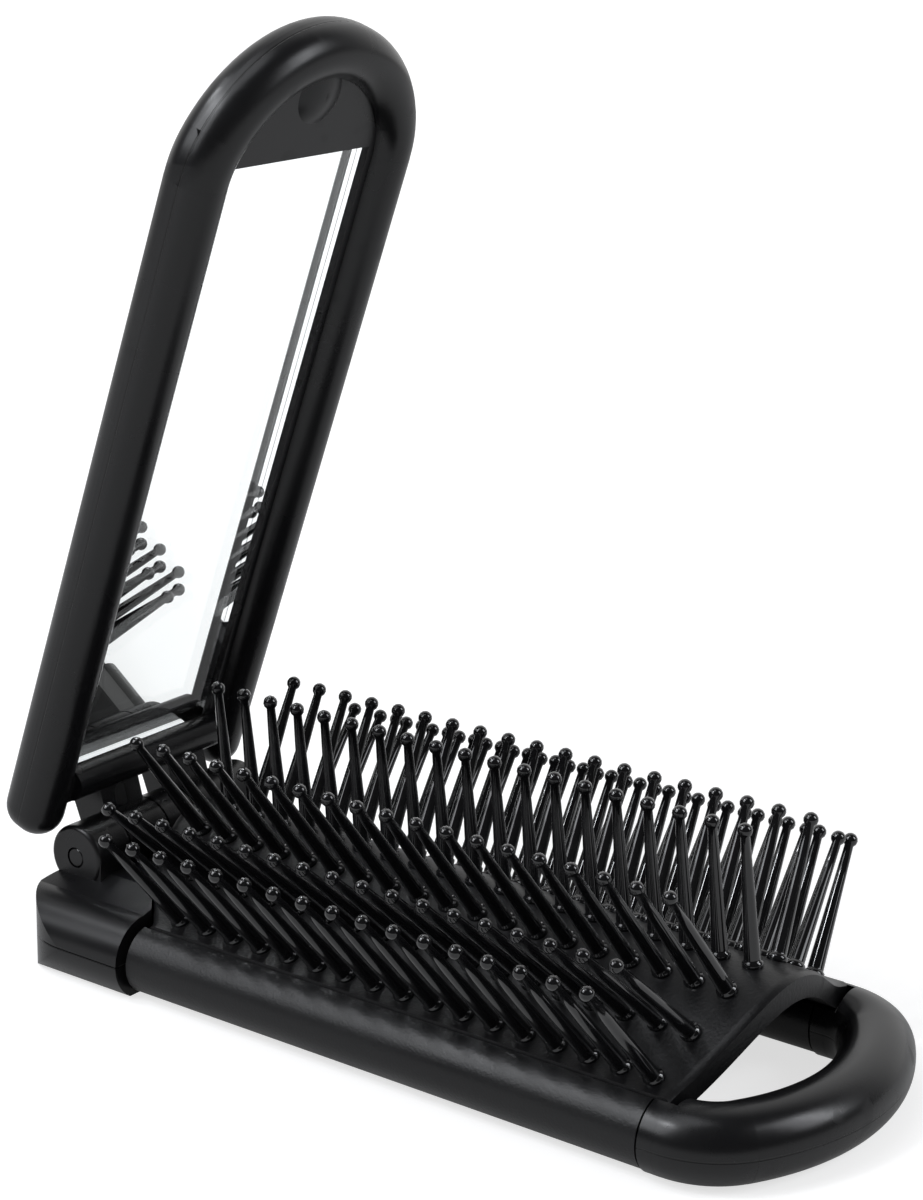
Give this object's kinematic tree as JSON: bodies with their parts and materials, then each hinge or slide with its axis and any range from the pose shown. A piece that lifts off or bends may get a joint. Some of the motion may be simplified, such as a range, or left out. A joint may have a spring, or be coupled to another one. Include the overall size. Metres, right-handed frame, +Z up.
{
  "type": "folding hairbrush with mirror",
  "caption": "Pocket hairbrush with ball-tipped pins on an arched pad between two turning rails, a finger loop, and a mirror lid that folds down over the pins.",
  "frame": {"origin": "on the ground directly under the hinge axis, on the centre plane", "axes": "+X along the base from the hinge to the finger loop, +Y to the left rail, +Z up from the flat underside"},
  "size_m": [0.1074, 0.0534, 0.1094],
  "materials": {
    "satin_black_plastic": "smooth satin",
    "rail_plastic": "fine satin grain",
    "inner_plastic": "moulded",
    "pad_elastomer": "semi-gloss",
    "pin_nylon": "glossy",
    "steel": "plain",
    "mirror": "polished, with ground edges",
    "tape": "foam"
  },
  "bodies": {
    "base": {"hinge_block_top": "satin_black_plastic", "hinge_block_bottom": "satin_black_plastic", "block_screws": "steel", "loop_upper": "satin_black_plastic", "loop_lower": "satin_black_plastic", "right_rail_rod": "steel", "left_rail_rod": "steel", "bristle_pad": "pad_elastomer", "pin_row_1": "pin_nylon", "pin_row_2": "pin_nylon", "pin_row_3": "pin_nylon", "pin_row_4": "pin_nylon", "pin_row_5": "pin_nylon", "pin_row_6": "pin_nylon", "pin_row_7": "pin_nylon"},
    "lid": {"lid_frame": "satin_black_plastic", "lid_back_cover": "satin_black_plastic", "mirror_glass": "mirror", "mirror_tape": "tape", "hinge_pin": "steel", "right_drive_cam": "inner_plastic", "left_drive_cam": "inner_plastic"},
    "right_turning_rail": {"right_rail": "rail_plastic", "right_rail_crank": "inner_plastic"},
    "left_turning_rail": {"left_rail": "rail_plastic", "left_rail_crank": "inner_plastic"}
  },
  "joints": [
    {"name": "fold", "type": "hinge", "parent": "base", "child": "lid", "pos_m": [0, 0, 0.0121], "axis": [0, -1, 0], "range_deg": [-75.2, 0], "deforming": ["bristle_pad", "pin_row_1", "pin_row_2", "pin_row_3", "pin_row_4", "pin_row_5", "pin_row_6", "pin_row_7"]},
    {"name": "right_rail_turn", "type": "hinge", "parent": "base", "child": "right_turning_rail", "pos_m": [0.0137, -0.01715, 0.0042], "axis": [1, 0, 0], "range_deg": [-60.3, 0]},
    {"name": "left_rail_turn", "type": "hinge", "parent": "base", "child": "left_turning_rail", "pos_m": [0.0137, 0.01715, 0.0042], "axis": [-1, 0, 0], "range_deg": [-60.3, 0]}
  ],
  "couplings": [
    {"joint": "right_rail_turn", "follows": "fold", "ratio": 0.8},
    {"joint": "left_rail_turn", "follows": "fold", "ratio": 0.8}
  ]
}
